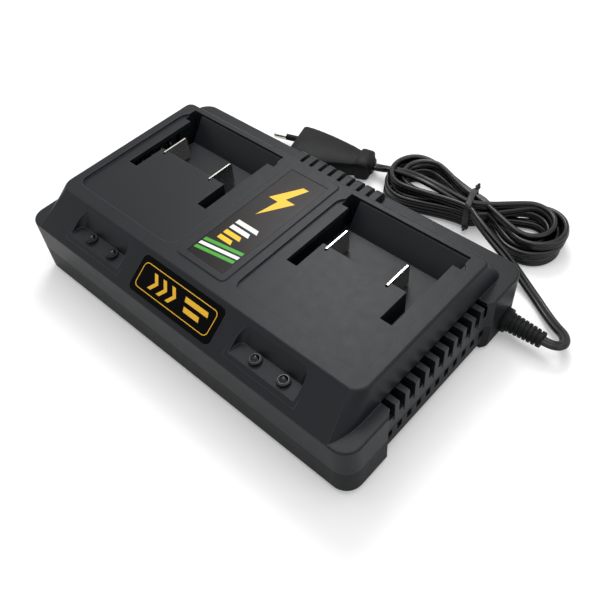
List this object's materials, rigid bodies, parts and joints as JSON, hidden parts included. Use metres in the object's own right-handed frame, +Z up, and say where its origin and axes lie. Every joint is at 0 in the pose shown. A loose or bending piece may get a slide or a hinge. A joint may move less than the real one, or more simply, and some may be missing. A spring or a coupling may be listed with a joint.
{
  "type": "twin battery charger",
  "caption": "Black twin-bay charger for slide-on cordless tool battery packs, with label, indicator pockets and a coiled mains cord.",
  "frame": {"origin": "on the floor, under the middle of the housing (the cord and what is on it left out)", "axes": "+X along the housing's long side towards the cord's exit, +Y from the sloping indicator front to the rear ledge, +Z up"},
  "size_m": [0.2574, 0.207, 0.0518],
  "materials": {
    "black_abs": "fine spark-eroded grain",
    "gloss_black": "polished",
    "label_print": "printed film, satin",
    "rubber": "matt",
    "zinc_steel": "zinc plated",
    "black_nylon": "moulded",
    "nickel": "nickel plated brass",
    "green_board": "solder mask",
    "clear_lens": "clear epoxy lens",
    "ferrite": "sintered",
    "winding_tape": "polyester tape",
    "can_sleeve": "shrink sleeve",
    "copper_wire": "enamelled wire",
    "yellow_case": "moulded case",
    "epoxy": "moulded epoxy",
    "fuse_glass": "tube with plated caps",
    "aluminium": "extruded",
    "white_nylon": "moulded",
    "wire_sleeve": "PVC insulation",
    "cord_pvc": "flexible PVC, satin",
    "tie_wire": "coated twist tie"
  },
  "bodies": {
    "root": {"top_shell": "black_abs", "bottom_shell": "black_abs", "front_badge": "gloss_black", "label_plate": "label_print", "rubber_feet": "rubber", "case_screws": "zinc_steel", "board_screws": "zinc_steel", "terminal_block_left": "black_nylon", "terminal_block_right": "black_nylon", "blade_left_minus": "nickel", "blade_left_plus": "nickel", "blade_right_minus": "nickel", "blade_right_plus": "nickel", "led_board_left": "green_board", "led_board_right": "green_board", "main_board": "green_board", "lamp_left_red": "clear_lens", "lamp_left_green": "clear_lens", "lamp_right_red": "clear_lens", "lamp_right_green": "clear_lens", "lamp_collar_left_red": "black_nylon", "lamp_collar_left_green": "black_nylon", "lamp_collar_right_red": "black_nylon", "lamp_collar_right_green": "black_nylon", "transformer_core": "ferrite", "transformer_winding": "winding_tape", "bulk_capacitor": "can_sleeve", "output_capacitor_left": "can_sleeve", "output_capacitor_right": "can_sleeve", "filter_choke": "copper_wire", "line_capacitor": "yellow_case", "bridge_rectifier": "epoxy", "mains_fuse": "fuse_glass", "primary_heatsink": "aluminium", "secondary_heatsink": "aluminium", "switching_transistor": "epoxy", "output_rectifier": "epoxy", "optocoupler": "epoxy", "controller_chip": "epoxy", "mains_connector": "white_nylon", "mains_wires": "wire_sleeve", "bay_leads_left": "wire_sleeve", "bay_leads_right": "wire_sleeve", "lamp_ribbon_left": "wire_sleeve", "lamp_ribbon_right": "wire_sleeve", "strain_relief": "cord_pvc", "cord_lead": "cord_pvc", "cord_hank": "cord_pvc", "cord_tail": "cord_pvc", "cord_tie": "tie_wire", "plug_body": "cord_pvc", "plug_pin_near": "nickel", "plug_pin_far": "nickel"}
  },
  "joints": []
}
